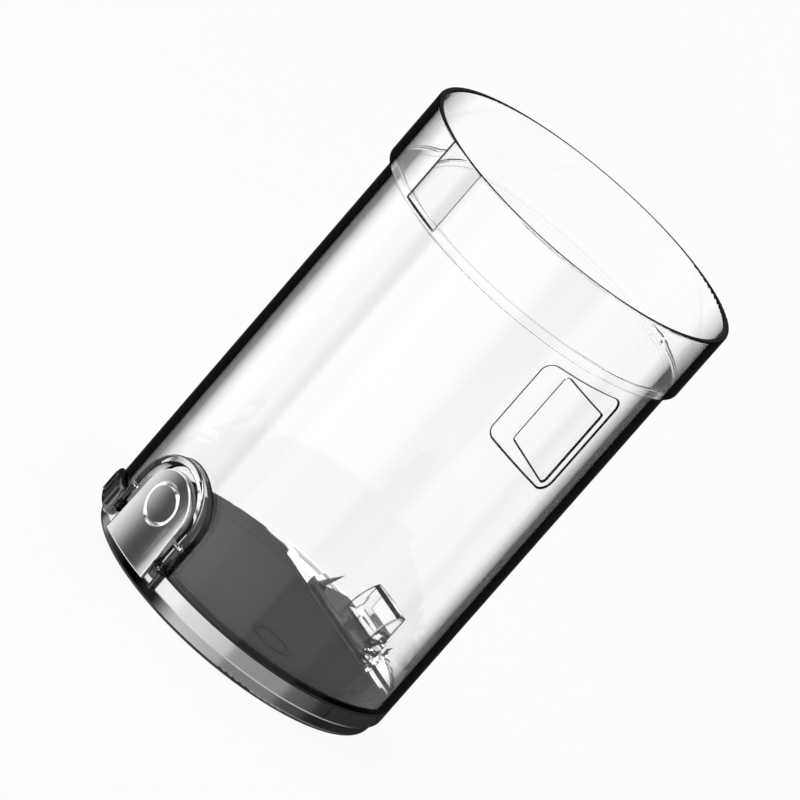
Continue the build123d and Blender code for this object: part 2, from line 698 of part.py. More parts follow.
os.makedirs("parts", exist_ok=True)
pieces = (
    ("bin_tube", bin_tube),
    ("lid_cover", lid_cover),
    ("lid_floor", lid_floor),
    ("lid_seal", lid_seal),
    ("hinge_pin", hinge_pin),
    ("button_cap", button_cap),
    ("button_lever", button_lever),
    ("button_pin", button_pin),
    ("button_spring", button_spring),
)
for label, piece in pieces:
    piece.part.label = label
    export_step(piece.part, f"parts/{label}.step")
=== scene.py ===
import math

import bpy
from bpy.props import FloatProperty, FloatVectorProperty, PointerProperty
from mathutils import Matrix, Vector

bl_info = {
    "name": "Clear Dust Bin",
    "version": (1, 0, 0),
    "blender": (4, 5, 0),
    "location": "View3D > Sidebar > Dust Bin",
    "description": "Finishes and studio for a clear dust bin with a hinged lid",
    "category": "Object",
}

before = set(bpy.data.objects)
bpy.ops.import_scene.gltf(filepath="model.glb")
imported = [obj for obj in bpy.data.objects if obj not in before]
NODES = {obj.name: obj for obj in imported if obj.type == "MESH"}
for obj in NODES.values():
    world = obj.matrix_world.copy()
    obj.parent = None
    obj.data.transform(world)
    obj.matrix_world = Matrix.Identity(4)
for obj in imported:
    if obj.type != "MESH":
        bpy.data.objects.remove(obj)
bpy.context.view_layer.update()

BLACK = (0.0, 0.0, 0.0)
WHITE = (1.0, 1.0, 1.0)
PAINTED_REFLECTION_DARK = (0.003, 0.003, 0.003)

# Refraction of the polished wall, and of the thin ribs and edges moulded on it
WALL_IOR = 1.45
RIB_IOR = 1.08

# Painted shade: facing from which a rib darkens, and at which it is fully dark
RIB_FACING = (0.90, 1.00)
EDGE_FACING = (0.05, 0.20)
COLLAR_FOOT_FACING = (0.25, 0.85)

# Depth of a part with painted shade, and width of the step at its border
SHADE = 0.995
STEP = 0.0001

# Cosines of a face: square to an axis above the first, turned to it above the second, inward above the third
SQUARE = 0.9
TURNED = 0.3
INWARD = 0.5

# Fins on the web at the tube's back: sides and foot, and the painted shade of a dark spike within each
FIN_IN = 0.0141
FIN_OUT = 0.0172
FIN_FOOT = 0.0130
SPIKE_IN = 0.0152       # inner spike ends here, outer spike starts at the next
SPIKE_OUT = 0.0161
SPIKE_TAPER = 0.2
SPIKE_LEAN = 0.667      # back border of the spike: run to rise, and its place at the underside
SPIKE_BACK = 0.02847

# Web, ears and catch at the tube's back
BACK_FRONT = 0.0330
BACK_R = 0.0479
BACK_TOP = 0.0190
WEB_FRONT = 0.0340
WEB_FADE = 0.0003
CATCH_HALF = 0.0076
CATCH_HOLLOW = 0.0058
CATCH_FRONT = 0.0400
CATCH_HIGH = 0.0205
CATCH_TOP = 0.0245
CATCH_R = 0.0499
CATCH_SLOPE = (0.68, SQUARE)

# Lower edge of the tube: painted shade in the seam between tube and lid, except at the back
FOOT_Z = 0.0112
FOOT_FADE = 0.0002
FOOT_BACK = 0.0300
FOOT_BACK_FADE = 0.0010

# Collar: its lower end, the slope there that gets a painted shade line, and the rim
COLLAR_Z = 0.1295
COLLAR_FOOT = 0.1330
COLLAR_SLOPE = (-0.95, -TURNED)
RIM_Z = 0.1530

# Lid: bevel between the bands (painted highlight), foot and slit (painted shade), grip (painted shade), and
# the painted dark reflection under the button
BEVEL_Z = (0.0044, 0.0052)
BEVEL_SLOPE = (-0.85, -0.50)
LID_FOOT = 0.0015
LID_FOOT_SLOPE = (-0.98, -0.25)
BAND_TILT = 0.25
SLIT_AZ = math.radians(89.0)
SLIT_HALF = 0.0004
SLIT_R = (0.0480, 0.0501)
GRIP_R = 0.0503
STRIP_FADE = (math.radians(16.0), math.radians(30.0))

# Button cap: ring groove, and the bevel round the cap's face, both with a painted highlight
RING_Z = 0.0234
RING_R = (0.0055, 0.0063)
CAP_DEEP = 0.0532
CAP_FACE = 0.0539
CAP_BEVEL_R = 0.0090
CAP_BEVEL = (0.20, 0.93)

# Lamps: name, power setting, distance, degrees to the right of the camera, height and size
LAMPS = (
    ("key_panel", "key_power", 1.0, -80.0, 0.35, (0.9, 1.1)),
    ("top_panel", "top_power", 0.2, 0.0, 1.30, (1.0, 1.0)),
    ("back_panel", "back_power", 1.2, 170.0, 0.60, (0.9, 0.7)),
)
LAMP_AIM = 0.07

# Tones of the upright panels that glossy surfaces mirror, by degrees to the right of the camera
PANELS = (
    (-180, 0.04),
    (-170, 0.04),
    (-166, 0.01),
    (-142, 0.01),
    (-132, 0.45),
    (-122, 0.90),
    (-104, 0.86),
    (-94, 0.46),
    (-90, 0.30),
    (-86, 0.12),
    (-80, 0.03),
    (-72, 0.03),
    (-66, 0.06),
    (-62, 1.00),
    (-32, 0.95),
    (-29, 0.80),
    (-12, 0.75),
    (12, 0.58),
    (13, 0.30),
    (56, 0.27),
    (60, 0.10),
    (80, 0.07),
    (86, 0.01),
    (166, 0.01),
    (170, 0.04),
    (180, 0.04),
)

# Heights of the mirrored direction between which the floor's tone gives way to the panels
BELOW = (-0.60, -0.40)


def colour_prop(name, description, default):
    return FloatVectorProperty(
        name=name, description=description, default=default, size=3, subtype="COLOR", min=0.0, max=1.0
    )


def factor_prop(name, description, default, top=1.0):
    return FloatProperty(
        name=name, description=description, default=default, subtype="FACTOR", min=0.0, max=top
    )


def length_prop(name, description, default):
    return FloatProperty(
        name=name, description=description, default=default, subtype="DISTANCE", unit="LENGTH"
    )


def angle_prop(name, description, degrees):
    return FloatProperty(
        name=name, description=description, default=math.radians(degrees), subtype="ANGLE", unit="ROTATION"
    )


def power_prop(name, description, default):
    return FloatProperty(
        name=name, description=description, default=default, subtype="POWER", unit="POWER", min=0.0
    )


class TubeFinish(bpy.types.PropertyGroup):
    """Clear tube."""

    tint: colour_prop("Tint", "Colour of the clear plastic", WHITE)
    # Painted shade: the wall's colour turns to the Edge colour as it faces away, in place of the dark edges
    # that refraction gives a clear wall
    edge: colour_prop("Edge", "Colour of the plastic seen along its wall", BLACK)
    edge_from: factor_prop("Edge From", "Facing at which the wall starts to darken", 0.50)
    edge_to: factor_prop("Edge To", "Facing at which the wall is fully dark", 0.69)
    collar_to: factor_prop("Collar To", "Facing at which the collar is fully dark", 0.70)
    mouth_from: factor_prop("Mouth From", "Facing at which the inside of the mouth starts to darken", 0.50)
    mouth_to: factor_prop("Mouth To", "Facing at which the inside of the mouth is fully dark", 0.90)
    # Painted reflection: darker streaks along the tube
    streak: factor_prop("Streaks", "Depth of the flow streaks along the tube", 0.18)
    gloss: factor_prop("Roughness", "Roughness of the polished wall", 0.02)
    passing: factor_prop("Passing Light", "Share of a lamp's light that passes each wall", 0.9)
    # Painted shade: dark lines along sharp edges and along the edges of the catch
    line: length_prop("Line", "Width of the dark line along sharp edges", 0.0007)
    rib_line: length_prop("Rib Line", "Width of the dark line along the edges of the catch", 0.0012)


class GraphiteFinish(bpy.types.PropertyGroup):
    """Glossy graphite mouldings."""

    colour: colour_prop("Colour", "Colour of the lid cover and the button cap", (0.46, 0.46, 0.465))
    # Painted shade: the lower band is a darker copy of the cover's graphite
    band: colour_prop("Lower Band", "Colour of the lid's lower band", (0.32, 0.32, 0.325))
    # Painted shade: the grip is a darker copy of the cover's graphite
    grip: colour_prop("Grip", "Colour of the finger grip", (0.06, 0.06, 0.062))
    gloss: factor_prop("Roughness", "Roughness of the polished moulding", 0.14)
    metallic: factor_prop("Metallic", "Metal flake in the plastic", 0.92)
    coat: factor_prop("Coat", "Weight of the clear top layer", 0.4)
    # Painted highlight: a light colour on the lid's bevel and the cap's groove and rim
    bright: colour_prop("Bright Edge", "Colour of polished bevels and grooves", (0.85, 0.85, 0.86))


class FloorFinish(bpy.types.PropertyGroup):
    """Dark floor insert."""

    colour: colour_prop("Colour", "Colour of the floor insert", (0.022, 0.022, 0.023))
    gloss: factor_prop("Roughness", "Roughness of the floor", 0.35)
    # Painted shade: dark line along the floor's sharp edges
    line: length_prop("Line", "Width of the dark line along the floor's edge", 0.0009)


class FittingFinish(bpy.types.PropertyGroup):
    """Lever, seal and steel fittings."""

    lever: colour_prop("Lever", "Colour of the button's lever", (0.16, 0.16, 0.165))
    # Also the painted shade in the lid's slit and along its foot
    rubber: colour_prop("Rubber", "Colour of the seal", (0.025, 0.025, 0.026))
    steel: colour_prop("Steel", "Colour of the pins and the spring", (0.60, 0.60, 0.61))


class StudioSettings(bpy.types.PropertyGroup):
    """Floor, lamps, world and camera."""

    floor_size: length_prop("Floor", "Width of the floor", 6.0)
    floor_colour: colour_prop("Floor Colour", "Colour of the floor", (0.9, 0.9, 0.9))
    floor_show: factor_prop("Floor White", "Share of plain white that the floor shows", 0.93)
    sky: factor_prop("Sky", "Strength of the world's light", 0.45)
    panels: factor_prop("Panels", "Strength of the panels seen in glossy surfaces", 2.0, top=4.0)
    below: factor_prop("Below", "Tone of the floor seen in surfaces that face it", 0.44)
    key_power: power_prop("Key", "Power of the large panel on the left", 9.0)
    top_power: power_prop("Top", "Power of the panel overhead", 3.0)
    back_power: power_prop("Back", "Power of the panel behind", 2.0)
    azimuth: angle_prop("Azimuth", "Side from which the camera looks", 41.5)
    elevation: angle_prop("Elevation", "Height of the camera's line of sight", 15.8)
    roll: angle_prop("Roll", "Turn of the camera about its line of sight", 41.0)
    distance: length_prop("Distance", "From the camera to the middle of the bin", 2.5)
    lens: FloatProperty(name="Lens", description="Focal length on a 36 mm sensor", default=405.0, min=1.0)
    target_z: length_prop("Target Height", "Height of the point that the camera faces", 0.077)
    slide_right: length_prop("Slide Right", "Image centre to the right of the target", -0.00231)
    slide_up: length_prop("Slide Up", "Image centre above the target", 0.00472)


class BinSettings(bpy.types.PropertyGroup):
    """All settings of the dust bin."""

    tube: PointerProperty(type=TubeFinish)
    graphite: PointerProperty(type=GraphiteFinish)
    floor: PointerProperty(type=FloorFinish)
    fitting: PointerProperty(type=FittingFinish)
    studio: PointerProperty(type=StudioSettings)


def put(tree, kind, values=None, **settings):
    """A node of that kind, with settings on it and values on its sockets."""
    made = tree.nodes.new(kind)
    for name, value in settings.items():
        setattr(made, name, value)
    for name, value in (values or {}).items():
        made.inputs[name].default_value = value
    return made


def join(tree, *pairs):
    for source, target in pairs:
        tree.links.new(source, target)


def calc(tree, operation, *terms):
    """A math node on sockets or numbers; returns its output."""
    made = put(tree, "ShaderNodeMath", operation=operation)
    for place, value in enumerate(terms):
        if isinstance(value, (int, float)):
            made.inputs[place].default_value = value
        else:
            join(tree, (value, made.inputs[place]))
    return made.outputs[0]


def ramp(tree, value, low, high, to_low, to_high, smooth=False):
    """A map range node on a socket; returns its output."""
    made = put(tree, "ShaderNodeMapRange", clamp=True)
    made.interpolation_type = "SMOOTHSTEP" if smooth else "LINEAR"
    for name, number in zip(("From Min", "From Max", "To Min", "To Max"), (low, high, to_low, to_high)):
        made.inputs[name].default_value = number
    join(tree, (value, made.inputs["Value"]))
    return made.outputs["Result"]


def colour_mix(tree, factor, a, b, blend="MIX"):
    """A colour mix of two sockets or colours; returns its output."""
    made = put(tree, "ShaderNodeMix", data_type="RGBA", blend_type=blend)
    for socket, value in ((made.inputs[0], factor), (made.inputs[6], a), (made.inputs[7], b)):
        if isinstance(value, bpy.types.NodeSocket):
            join(tree, (value, socket))
        elif isinstance(value, float):
            socket.default_value = value
        else:
            socket.default_value = (*value, 1.0)
    return made.outputs[2]


def place_on(tree):
    """The place on the piece, in the bin's own frame."""
    return put(tree, "ShaderNodeTexCoord").outputs["Object"]


def axes_of(tree, vector):
    """The X, Y and Z sockets of a vector."""
    made = put(tree, "ShaderNodeSeparateXYZ")
    join(tree, (vector, made.inputs[0]))
    return [made.outputs[axis] for axis in "XYZ"]


def turn_from_front(tree, x, y):
    """Angle from the front, positive to the right; returns a socket."""
    return calc(tree, "ARCTAN2", x, calc(tree, "MULTIPLY", y, -1.0))


def new_group(name, inputs, outputs):
    """An empty shader node group with named sockets: (tree, its input node, its output node)."""
    tree = bpy.data.node_groups.new(name, "ShaderNodeTree")
    for label, default in inputs:
        made = tree.interface.new_socket(name=label, in_out="INPUT", socket_type="NodeSocketFloat")
        made.default_value = default
    for label in outputs:
        tree.interface.new_socket(name=label, in_out="OUTPUT", socket_type="NodeSocketFloat")
    return tree, tree.nodes.new("NodeGroupInput"), tree.nodes.new("NodeGroupOutput")


def use_group(tree, build, **values):
    """The shared group that the function builds, placed in the tree; it is built on its first use only."""
    name = build.__name__.replace("_", " ").title()
    group = bpy.data.node_groups.get(name) or build(name)
    return put(tree, "ShaderNodeGroup", values, node_tree=group)


def moulding_grain(name):
    """Fine unevenness that a polished mould leaves: a slow swell and a fine grain."""
    tree, given, out = new_group(name, (("Swell", 0.5), ("Grain", 0.5)), ("Height", "Tone"))
    swell = put(tree, "ShaderNodeTexNoise", {"Scale": 55.0, "Detail": 2.0})
    grain = put(tree, "ShaderNodeTexNoise", {"Scale": 2600.0, "Detail": 3.0, "Roughness": 0.6})
    cloud = put(tree, "ShaderNodeTexNoise", {"Scale": 140.0, "Detail": 4.0})
    place = place_on(tree)
    for noise in (swell, grain, cloud):
        join(tree, (place, noise.inputs["Vector"]))
    slow = calc(tree, "MULTIPLY", swell.outputs["Fac"], given.outputs["Swell"])
    fine = calc(tree, "MULTIPLY", grain.outputs["Fac"], given.outputs["Grain"])
    join(
        tree,
        (calc(tree, "ADD", slow, fine), out.inputs["Height"]),
        (cloud.outputs["Fac"], out.inputs["Tone"]),
    )
    return tree


def handling_scuffs(name):
    """Hairlines of handling, in two crossing directions."""
    tree, given, out = new_group(name, (("Amount", 0.5),), ("Mask",))
    place = place_on(tree)
    lines = []
    for turn, scale in (((0.3, 0.2, 0.5), (2400.0, 90.0, 120.0)), ((0.9, 0.6, -0.4), (110.0, 2000.0, 80.0))):
        bend = put(tree, "ShaderNodeMapping", {"Rotation": turn, "Scale": scale})
        noise = put(tree, "ShaderNodeTexNoise", {"Scale": 1.0, "Detail": 1.0})
        join(tree, (place, bend.inputs["Vector"]), (bend.outputs["Vector"], noise.inputs["Vector"]))
        lines.append(ramp(tree, noise.outputs["Fac"], 0.66, 0.74, 0.0, 1.0))
    both = calc(tree, "MAXIMUM", *lines)
    join(tree, (calc(tree, "MULTIPLY", both, given.outputs["Amount"]), out.inputs["Mask"]))
    return tree


def edge_line(name):
    """Painted shade: a dark line along the sharp edges of a moulding: 1 on the line, 0 on the faces."""
    tree, given, out = new_group(name, (("Width", 0.0005),), ("Mask",))
    rounded = put(tree, "ShaderNodeBevel", samples=8)
    flat = put(tree, "ShaderNodeNewGeometry")
    turn = put(tree, "ShaderNodeVectorMath", operation="DOT_PRODUCT")
    join(
        tree,
        (given.outputs["Width"], rounded.inputs["Radius"]),
        (rounded.outputs["Normal"], turn.inputs[0]),
        (flat.outputs["Normal"], turn.inputs[1]),
    )
    even = calc(tree, "ABSOLUTE", turn.outputs["Value"])
    join(tree, (ramp(tree, even, 0.972, 0.994, 1.0, 0.0), out.inputs["Mask"]))
    return tree


def flow_streaks(name):
    """Painted reflection: soft darker streaks along the tube."""
    tree, given, out = new_group(name, (("Depth", 0.1),), ("Mask",))
    along = put(tree, "ShaderNodeMapping", {"Scale": (1.0, 1.0, 0.02)})
    streak = put(tree, "ShaderNodeTexNoise", {"Scale": 38.0, "Detail": 1.5})
    join(tree, (place_on(tree), along.inputs["Vector"]), (along.outputs["Vector"], streak.inputs["Vector"]))
    soft = ramp(tree, streak.outputs["Fac"], 0.56, 0.70, 0.0, 1.0, smooth=True)
    join(tree, (calc(tree, "MULTIPLY", soft, given.outputs["Depth"]), out.inputs["Mask"]))
    return tree


def empty_nodes(owner):
    """The node tree of a material or world, emptied."""
    owner.use_nodes = True
    owner.node_tree.nodes.clear()
    return owner.node_tree


def new_material(name):
    """An empty material with a Principled shader: (material, tree, shader)."""
    made = bpy.data.materials.new(name)
    tree = empty_nodes(made)
    shader = put(tree, "ShaderNodeBsdfPrincipled")
    join(tree, (shader.outputs["BSDF"], put(tree, "ShaderNodeOutputMaterial").inputs["Surface"]))
    return made, tree, shader


def bump(tree, shader, height, depth):
    made = put(tree, "ShaderNodeBump", {"Strength": 1.0, "Distance": depth})
    join(tree, (height, made.inputs["Height"]), (made.outputs["Normal"], shader.inputs["Normal"]))


def moulded_plastic(
    name,
    colour,
    roughness,
    tone,
    scuff,
    grain,
    depth,
    metallic=0.0,
    coat=0.0,
    specular=0.5,
    line=0.0,
    shade=None,
):
    """A moulded plastic: cloudy tone, hairlines in the gloss and a fine uneven skin.

    A line paints dark lines of that width along its sharp edges. A shade is a function for the mask of a
    painted dark part.
    """
    made, tree, shader = new_material(name)
    skin = use_group(tree, moulding_grain, Swell=1.0, Grain=grain)
    marks = use_group(tree, handling_scuffs, Amount=scuff)
    dark = tuple(c * (1.0 - tone) for c in colour)
    light = tuple(min(1.0, c * (1.0 + tone)) for c in colour)
    skin_colour = colour_mix(tree, skin.outputs["Tone"], dark, light)
    if line:
        rim = use_group(tree, edge_line, Width=line)
        skin_colour = colour_mix(tree, rim.outputs["Mask"], skin_colour, BLACK)
    shader.inputs["Coat Weight"].default_value = coat
    if shade:
        mask = shade(tree, *axes_of(tree, place_on(tree)))
        skin_colour = colour_mix(tree, mask, skin_colour, PAINTED_REFLECTION_DARK)
        join(tree, (ramp(tree, mask, 0.0, 1.0, coat, 0.0), shader.inputs["Coat Weight"]))
    rough = ramp(tree, skin.outputs["Tone"], 0.3, 0.7, roughness * 0.85, roughness * 1.15)
    join(
        tree,
        (skin_colour, shader.inputs["Base Color"]),
        (calc(tree, "ADD", rough, marks.outputs["Mask"]), shader.inputs["Roughness"]),
    )
    bump(tree, shader, skin.outputs["Height"], depth)
    shader.inputs["Metallic"].default_value = metallic
    shader.inputs["Specular IOR Level"].default_value = specular
    shader.inputs["Coat Roughness"].default_value = 0.04
    return made


def strip_shade(tree, x, y, z):
    """Painted dark reflection under the button: a dark strip with soft ends on both sides of the front."""
    side = calc(tree, "ABSOLUTE", turn_from_front(tree, x, y))
    return ramp(tree, side, *STRIP_FADE, 1.0, 0.0, smooth=True)


def graphite(name, finish, colour, shade=None):
    """Glossy graphite moulding."""
    return moulded_plastic(
        name,
        colour,
        finish.gloss,
        tone=0.10,
        scuff=0.05,
        grain=0.03,
        depth=0.000004,
        metallic=finish.metallic,
        coat=finish.coat,
        shade=shade,
    )


def bright_edge(name, finish):
    """Painted highlight: a light metallic colour on the bevels and grooves of the graphite mouldings."""
    return moulded_plastic(
        name, finish.bright, 0.18, tone=0.06, scuff=0.05, grain=0.03, depth=0.000004, metallic=0.9
    )


def foot_shade(tree, x, y, z):
    """Painted shade in the seam between tube and lid: dark lower edge of the tube, up to its open back."""
    low = ramp(tree, z, FOOT_Z, FOOT_Z + FOOT_FADE, 1.0, 0.0)
    front = ramp(tree, y, FOOT_BACK, FOOT_BACK + FOOT_BACK_FADE, 1.0, 0.0)
    return calc(tree, "MULTIPLY", low, front)


def web_shade(tree, x, y, z):
    """Painted shade: dark front of the web, from fin to fin, where the dark lid shows through."""
    return ramp(tree, calc(tree, "ABSOLUTE", x), FIN_OUT, FIN_OUT + STEP, SHADE, 0.0)


def fin_shade(tree, x, y, z):
    """Painted shade: dark pointed front of the fins, on the inner side of both, and on the outer side of the
    right one.
    """
    rise = calc(tree, "SUBTRACT", z, FIN_FOOT)
    across = calc(tree, "MULTIPLY_ADD", rise, SPIKE_TAPER, calc(tree, "ABSOLUTE", x))
    inner = ramp(tree, across, SPIKE_IN, SPIKE_IN + STEP, SHADE, 0.0)
    beyond = calc(tree, "MULTIPLY_ADD", rise, -SPIKE_TAPER, x)
    outer = ramp(tree, beyond, SPIKE_OUT, SPIKE_OUT + STEP, 0.0, SHADE)
    behind = calc(tree, "MULTIPLY_ADD", z, -SPIKE_LEAN, y)
    front = ramp(tree, behind, SPIKE_BACK, SPIKE_BACK + STEP, 1.0, 0.0)
    return calc(tree, "MULTIPLY", calc(tree, "MAXIMUM", inner, outer), front)


def clear_plastic(name, finish, start, end, line=0.0, ior=RIB_IOR, reach=0.0, shade=None):
    """Polished clear plastic with painted shade: its colour darkens from one facing to another, where it is
    seen along its wall, in place of the dark edges that refraction gives a clear wall.

    A line paints dark lines of that width along its sharp edges. Beyond the reach, to either side, it stays
    clear.
    A shade is a function for the mask of a part with painted shade.
    """
    made, tree, shader = new_material(name)
    x, y, z = axes_of(tree, place_on(tree))
    facing = put(tree, "ShaderNodeLayerWeight", {"Blend": 0.5}).outputs["Facing"]
    # Painted shade: the colour darkens by facing toward the edge colour
    edge = ramp(tree, facing, start, end, 0.0, 1.0)
    if line:
        rim = use_group(tree, edge_line, Width=line)
        edge = calc(tree, "MAXIMUM", edge, rim.outputs["Mask"])
    if reach:
        near = ramp(tree, calc(tree, "ABSOLUTE", x), reach, reach + WEB_FADE, 1.0, 0.0)
        edge = calc(tree, "MULTIPLY", edge, near)
    if shade:
        edge = calc(tree, "MAXIMUM", edge, shade(tree, x, y, z))
    wall = colour_mix(tree, edge, tuple(finish.tint), tuple(finish.edge))
    # Painted reflection: darker streaks mixed into the colour
    painted = use_group(tree, flow_streaks, Depth=finish.streak)
    marks = use_group(tree, handling_scuffs, Amount=0.05)
    skin = use_group(tree, moulding_grain, Swell=1.0, Grain=0.0)
    shadow = put(tree, "ShaderNodeLightPath").outputs["Is Shadow Ray"]
    join(
        tree,
        (colour_mix(tree, painted.outputs["Mask"], wall, BLACK), shader.inputs["Base Color"]),
        (calc(tree, "ADD", marks.outputs["Mask"], finish.gloss), shader.inputs["Roughness"]),
        (calc(tree, "MULTIPLY_ADD", shadow, -finish.passing, 1.0), shader.inputs["Alpha"]),
    )
    bump(tree, shader, skin.outputs["Height"], 0.00002)
    shader.inputs["Transmission Weight"].default_value = 1.0
    shader.inputs["IOR"].default_value = ior
    return made


def drawn_steel(colour):
    """Drawn steel wire and pins, with fine lines along X."""
    made, tree, shader = new_material("drawn_steel")
    along = put(tree, "ShaderNodeMapping", {"Scale": (60.0, 2400.0, 2400.0)})
    lines = put(tree, "ShaderNodeTexNoise", {"Scale": 1.0, "Detail": 3.0})
    join(tree, (place_on(tree), along.inputs["Vector"]), (along.outputs["Vector"], lines.inputs["Vector"]))
    dark = tuple(c * 0.8 for c in colour)
    join(
        tree,
        (colour_mix(tree, lines.outputs["Fac"], dark, tuple(colour)), shader.inputs["Base Color"]),
        (ramp(tree, lines.outputs["Fac"], 0.3, 0.7, 0.22, 0.38), shader.inputs["Roughness"]),
    )
    bump(tree, shader, lines.outputs["Fac"], 0.00002)
    shader.inputs["Metallic"].default_value = 1.0
    return made


def dress(material, *names):
    """The material on each of the CAD nodes."""
    for name in names:
        slots = NODES[name].data.materials
        slots.clear()
        slots.append(material)


def dress_faces(name, finishes, finish_of):
    """The finishes on a CAD node, with the one that finish_of names on each face."""
    data = NODES[name].data
    data.materials.clear()
    for material in finishes.values():
        data.materials.append(material)
    places = list(finishes)
    for face in data.polygons:
        face.material_index = places.index(finish_of(face))


def within(value, limits):
    low, high = limits
    return low < value < high


def outwardness(face):
    """How far the face is turned away from the bin's axis: 1 is straight outward."""
    x, y, _ = face.center
    return (x * face.normal.x + y * face.normal.y) / math.hypot(x, y)


class BIN_OT_tube(bpy.types.Operator):
    """Finish the clear tube"""

    bl_idname = "dust_bin.tube"
    bl_label = "Clear Tube"

    def execute(self, context):
        finish = context.scene.dust_bin.tube
        line = finish.line
        seen = finish.edge_from, finish.edge_to
        collar = finish.edge_from, finish.collar_to
        mouth = finish.mouth_from, finish.mouth_to
        # Painted shade: every clear material darkens by facing; edge, collar_foot, fin, web_front and the
        # foot of wall and inside are darker parts of painted shade
        made = {
            "wall": clear_plastic("clear_wall", finish, *seen, line, WALL_IOR, shade=foot_shade),
            "inside": clear_plastic("clear_inside", finish, *seen, ior=WALL_IOR, shade=foot_shade),
            "collar": clear_plastic("clear_collar", finish, *collar, line, WALL_IOR),
            "mouth": clear_plastic("clear_mouth", finish, *mouth, ior=WALL_IOR),
            "web": clear_plastic("clear_web", finish, *seen, line, reach=FIN_OUT),
            "fin": clear_plastic("clear_fin", finish, *RIB_FACING, shade=fin_shade),
            "catch": clear_plastic("clear_catch", finish, *RIB_FACING, finish.rib_line),
            "ledge": clear_plastic("clear_ledge", finish, *RIB_FACING),
            "edge": clear_plastic("clear_edge", finish, *EDGE_FACING),
            "collar_foot": clear_plastic("clear_collar_foot", finish, *COLLAR_FOOT_FACING),
            "web_front": clear_plastic("clear_web_front", finish, *RIB_FACING, shade=web_shade),
        }
        dress_faces("bin_tube", made, self.finish_of)
        return {"FINISHED"}

    @staticmethod
    def finish_of(face):
        x, y, z = face.center
        side, away = abs(x), math.hypot(x, y)
        forward, tilt = -face.normal.y, face.normal.z
        inward = outwardness(face) < -INWARD
        if side < CATCH_HALF and y > CATCH_FRONT and z < CATCH_TOP and away < CATCH_R:
            if z > CATCH_HIGH and within(tilt, CATCH_SLOPE):
                return "edge"
            top = z > CATCH_HIGH and tilt > SQUARE
            shell = z > FIN_FOOT and (side > CATCH_HOLLOW or forward > TURNED or top)
            return "catch" if shell else "ledge"
        if y > BACK_FRONT and z < BACK_TOP and away < BACK_R:
            if y < WEB_FRONT and forward > SQUARE:
                return "web_front"
            return "fin" if FIN_IN < side < FIN_OUT and z > FIN_FOOT else "web"
        if z > COLLAR_Z:
            if z < COLLAR_FOOT and within(tilt, COLLAR_SLOPE):
                return "collar_foot"
            if tilt > TURNED and z < RIM_Z:
                return "ledge"
            return "mouth" if inward else "collar"
        return "inside" if inward else "wall"


class BIN_OT_lid(bpy.types.Operator):
    """Finish the lid: cover, floor insert and seal"""

    bl_idname = "dust_bin.lid"
    bl_label = "Hinged Lid"

    def execute(self, context):
        look = context.scene.dust_bin
        shell = look.graphite
        rubber = moulded_plastic(
            "seal_rubber", look.fitting.rubber, 0.75, tone=0.25, scuff=0.02, grain=0.8, depth=0.00005
        )
        made = {
            "cover": graphite("graphite_gloss", shell, shell.colour),
            "bevel": bright_edge("bevel_bright", shell),
            "band": graphite("graphite_lower_band", shell, shell.band, shade=strip_shade),
            # Painted shade: the seal's dark rubber also goes on the slit and the lid's foot
            "dark": rubber,
            "grip": graphite("graphite_grip", shell, shell.grip),
        }
        dress_faces("lid_cover", made, self.finish_of)
        floor = moulded_plastic(
            "floor_gloss",
            look.floor.colour,
            look.floor.gloss,
            tone=0.15,
            scuff=0.08,
            grain=0.05,
            depth=0.000006,
            specular=0.0,
            line=look.floor.line,
        )
        dress(floor, "lid_floor")
        dress(rubber, "lid_seal")
        return {"FINISHED"}

    @staticmethod
    def finish_of(face):
        x, y, z = face.center
        away, tilt = math.hypot(x, y), face.normal.z
        slit = abs(math.atan2(x, -y) - SLIT_AZ) * away < SLIT_HALF and within(away, SLIT_R)
        # Painted highlight on the bevel between the bands
        if within(z, BEVEL_Z) and within(tilt, BEVEL_SLOPE):
            return "bevel"
        # Painted shade: the slit and the rounded foot of the lid get the seal's dark rubber
        if slit and z > BEVEL_Z[1]:
            return "dark"
        if z < LID_FOOT and within(tilt, LID_FOOT_SLOPE):
            return "dark"
        # Painted shade: the lower band gets a darker copy of the graphite
        if z < BEVEL_Z[0] and abs(tilt) < BAND_TILT:
            return "band"
        # Painted shade: the grip gets a darker copy of the graphite
        return "grip" if away > GRIP_R else "cover"


class BIN_OT_button(bpy.types.Operator):
    """Finish the release button: cap and lever"""

    bl_idname = "dust_bin.button"
    bl_label = "Release Button"

    def execute(self, context):
        look = context.scene.dust_bin
        made = {
            "cap": graphite("button_graphite", look.graphite, look.graphite.colour),
            "bright": bright_edge("ring_bright", look.graphite),
        }
        dress_faces("button_cap", made, self.finish_of)
        lever = moulded_plastic(
            "lever_satin", look.fitting.lever, 0.42, tone=0.12, scuff=0.05, grain=0.5, depth=0.00004
        )
        dress(lever, "button_lever")
        return {"FINISHED"}

    @staticmethod
    def finish_of(face):
        x, y, z = face.center
        away = math.hypot(x, y)
        from_ring = math.hypot(x, z - RING_Z)
        groove = within(from_ring, RING_R) and away < CAP_FACE
        bevel = from_ring > CAP_BEVEL_R and within(outwardness(face), CAP_BEVEL)
        # Painted highlight on the groove and the bevel round the cap's face
        return "bright" if away > CAP_DEEP and (groove or bevel) else "cap"


class BIN_OT_steel(bpy.types.Operator):
    """Finish the pins and the spring"""

    bl_idname = "dust_bin.steel"
    bl_label = "Pins and Spring"

    def execute(self, context):
        dress(drawn_steel(context.scene.dust_bin.fitting.steel), "hinge_pin", "button_pin", "button_spring")
        return {"FINISHED"}


